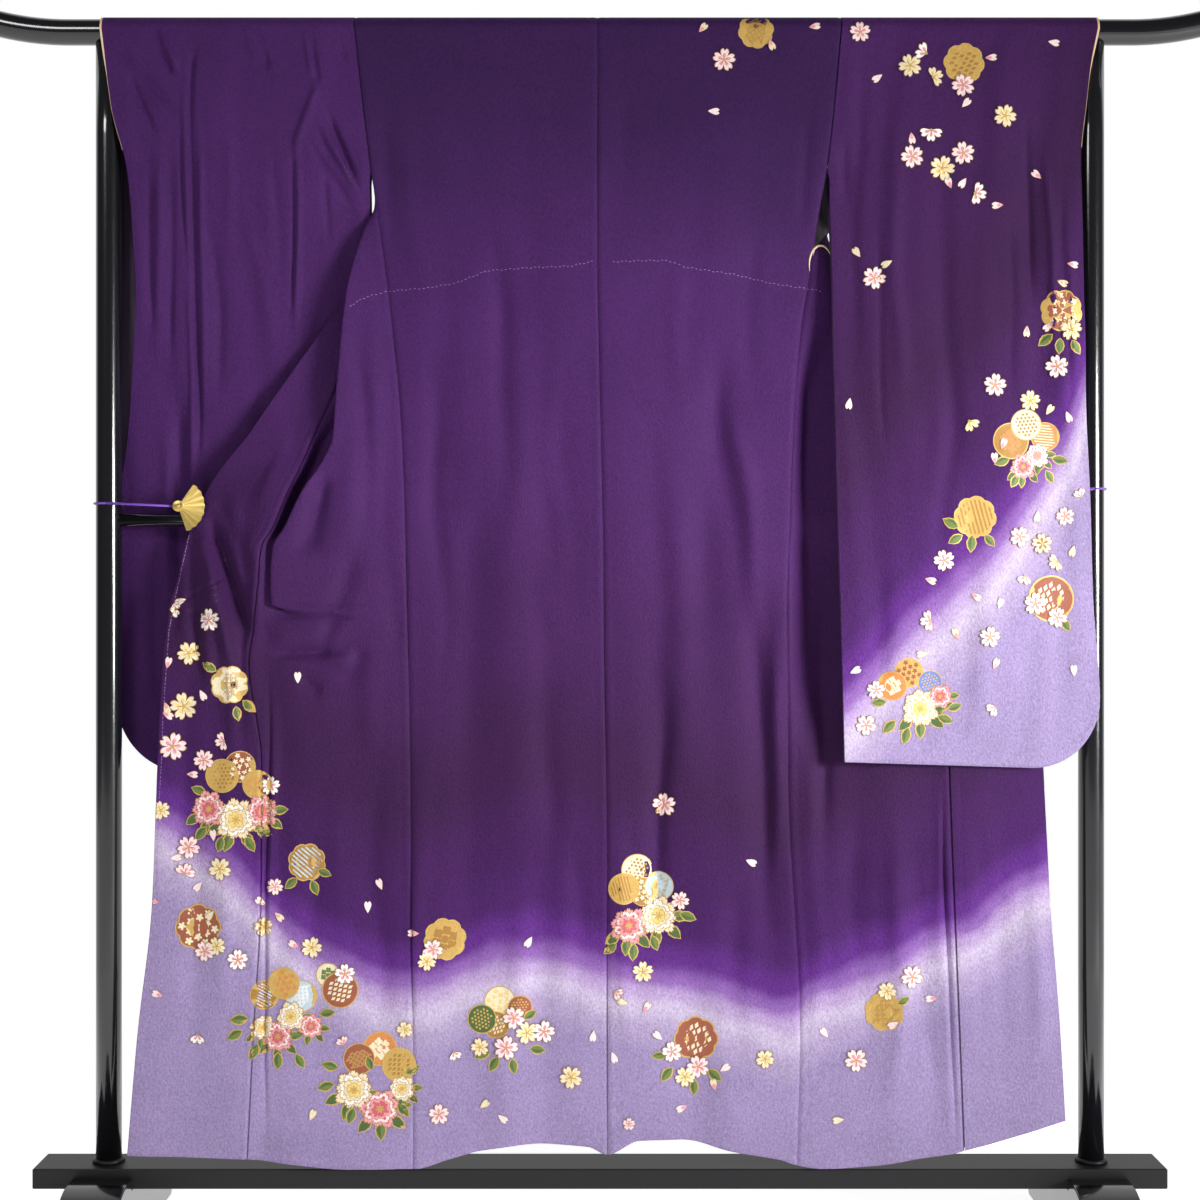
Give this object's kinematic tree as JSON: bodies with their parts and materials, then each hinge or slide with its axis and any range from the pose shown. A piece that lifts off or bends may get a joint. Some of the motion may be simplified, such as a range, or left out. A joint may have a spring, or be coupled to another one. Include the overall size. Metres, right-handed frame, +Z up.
{
  "type": "furisode on a kimono stand",
  "caption": "Purple long-sleeved furisode with a pale lavender hem and scattered flower roundels, spread over the rod of a black lacquered kimono stand.",
  "frame": {"origin": "centre of the footprint on the floor, under the middle of the top rod", "axes": "+Z up, +X to the right of a viewer who faces the garment's shown back, and the shown face looks to -Y"},
  "size_m": [1.8696, 0.41, 1.7963],
  "materials": {
    "crepe": "fine pebbled silk crepe, dyed purple, fading to lavender at the hem and right sleeve",
    "lining": "plain silk",
    "lacquer": "glossy black lacquer",
    "satin_black": "satin black lacquer",
    "gilt": "bright gilt",
    "cord": "braided silk cord"
  },
  "bodies": {
    "root": {"left_back": "crepe", "right_back": "crepe", "left_front": "crepe", "right_front": "crepe", "left_okumi": "crepe", "right_okumi": "crepe", "left_collar": "crepe", "right_collar": "crepe", "back_collar": "crepe", "left_sleeve": "crepe", "right_sleeve": "crepe", "left_cuff_piping": "lining", "right_cuff_piping": "lining", "top_rod": "lacquer", "left_post": "lacquer", "right_post": "lacquer", "mid_rail": "lacquer", "left_foot": "lacquer", "right_foot": "lacquer", "base_bar": "satin_black", "left_socket": "satin_black", "right_socket": "satin_black", "left_fan_clip": "gilt", "right_fan_clip": "gilt", "left_cord": "cord", "right_cord": "cord"}
  },
  "joints": []
}
